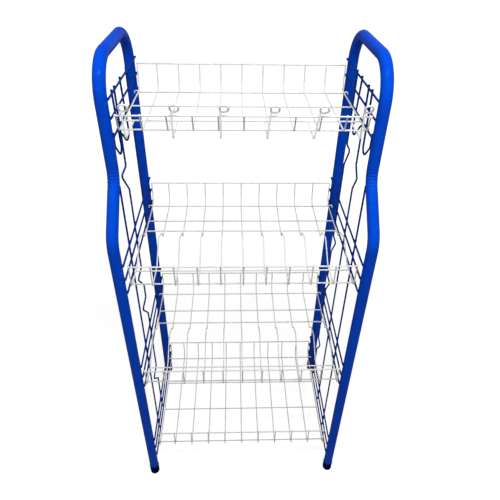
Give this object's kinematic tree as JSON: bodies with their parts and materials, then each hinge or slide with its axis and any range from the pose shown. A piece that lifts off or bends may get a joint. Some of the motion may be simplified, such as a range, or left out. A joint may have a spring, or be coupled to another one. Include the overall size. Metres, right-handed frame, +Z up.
{
  "type": "wire display rack",
  "caption": "Free-standing tiered wire display rack: two bent-tube side frames carry stacked wire baskets, with hooks under the top one.",
  "frame": {"origin": "on the floor, at the middle of the footprint", "axes": "+X to the right, +Y to the back, +Z up; the open front faces -Y"},
  "size_m": [0.449, 0.335, 0.9615],
  "materials": {
    "tube_blue": "gloss enamel",
    "wire_blue": "gloss enamel",
    "wire_white": "satin powder coat",
    "hook_white": "satin powder coat",
    "foot_plastic": "moulded"
  },
  "bodies": {
    "side_frames": {"feet": "foot_plastic", "left_bottom_support_wires": "wire_blue", "left_front_loop_wire": "wire_blue", "left_front_upright": "wire_blue", "left_middle_upright": "wire_blue", "left_rear_loop_wire": "wire_blue", "left_rear_upright": "wire_blue", "left_second_support_wires": "wire_blue", "left_side_tube": "tube_blue", "left_third_support_wires": "wire_blue", "left_top_support_wires": "wire_blue", "right_bottom_support_wires": "wire_blue", "right_front_loop_wire": "wire_blue", "right_front_upright": "wire_blue", "right_middle_upright": "wire_blue", "right_rear_loop_wire": "wire_blue", "right_rear_upright": "wire_blue", "right_second_support_wires": "wire_blue", "right_side_tube": "tube_blue", "right_third_support_wires": "wire_blue", "right_top_support_wires": "wire_blue"},
    "top_basket": {"top_basket_bearing_bars": "wire_white", "top_basket_cross_wires": "wire_white", "top_basket_end_wires": "wire_white", "top_basket_floor_bars": "wire_white", "top_basket_rim_bars": "wire_white", "hook_1": "hook_white", "hook_2": "hook_white", "hook_3": "hook_white", "hook_4": "hook_white", "hook_5": "hook_white", "hook_6": "hook_white"},
    "second_basket": {"second_basket_bearing_bars": "wire_white", "second_basket_cross_wires": "wire_white", "second_basket_end_wires": "wire_white", "second_basket_floor_bars": "wire_white", "second_basket_rim_bars": "wire_white"},
    "third_basket": {"third_basket_bearing_bars": "wire_white", "third_basket_cross_wires": "wire_white", "third_basket_end_wires": "wire_white", "third_basket_floor_bars": "wire_white", "third_basket_rim_bars": "wire_white"},
    "bottom_basket": {"bottom_basket_bearing_bars": "wire_white", "bottom_basket_cross_wires": "wire_white", "bottom_basket_end_wires": "wire_white", "bottom_basket_floor_bars": "wire_white", "bottom_basket_rim_bars": "wire_white"}
  },
  "joints": [
    {"name": "top_basket_lift", "type": "slide", "parent": "side_frames", "child": "top_basket", "axis": [0, 0, 1], "range_m": [0, 0.015]},
    {"name": "second_basket_lift", "type": "slide", "parent": "side_frames", "child": "second_basket", "axis": [0, 0, 1], "range_m": [0, 0.015]},
    {"name": "third_basket_lift", "type": "slide", "parent": "side_frames", "child": "third_basket", "axis": [0, 0, 1], "range_m": [0, 0.015]},
    {"name": "bottom_basket_lift", "type": "slide", "parent": "side_frames", "child": "bottom_basket", "axis": [0, 0, 1], "range_m": [0, 0.015]}
  ]
}
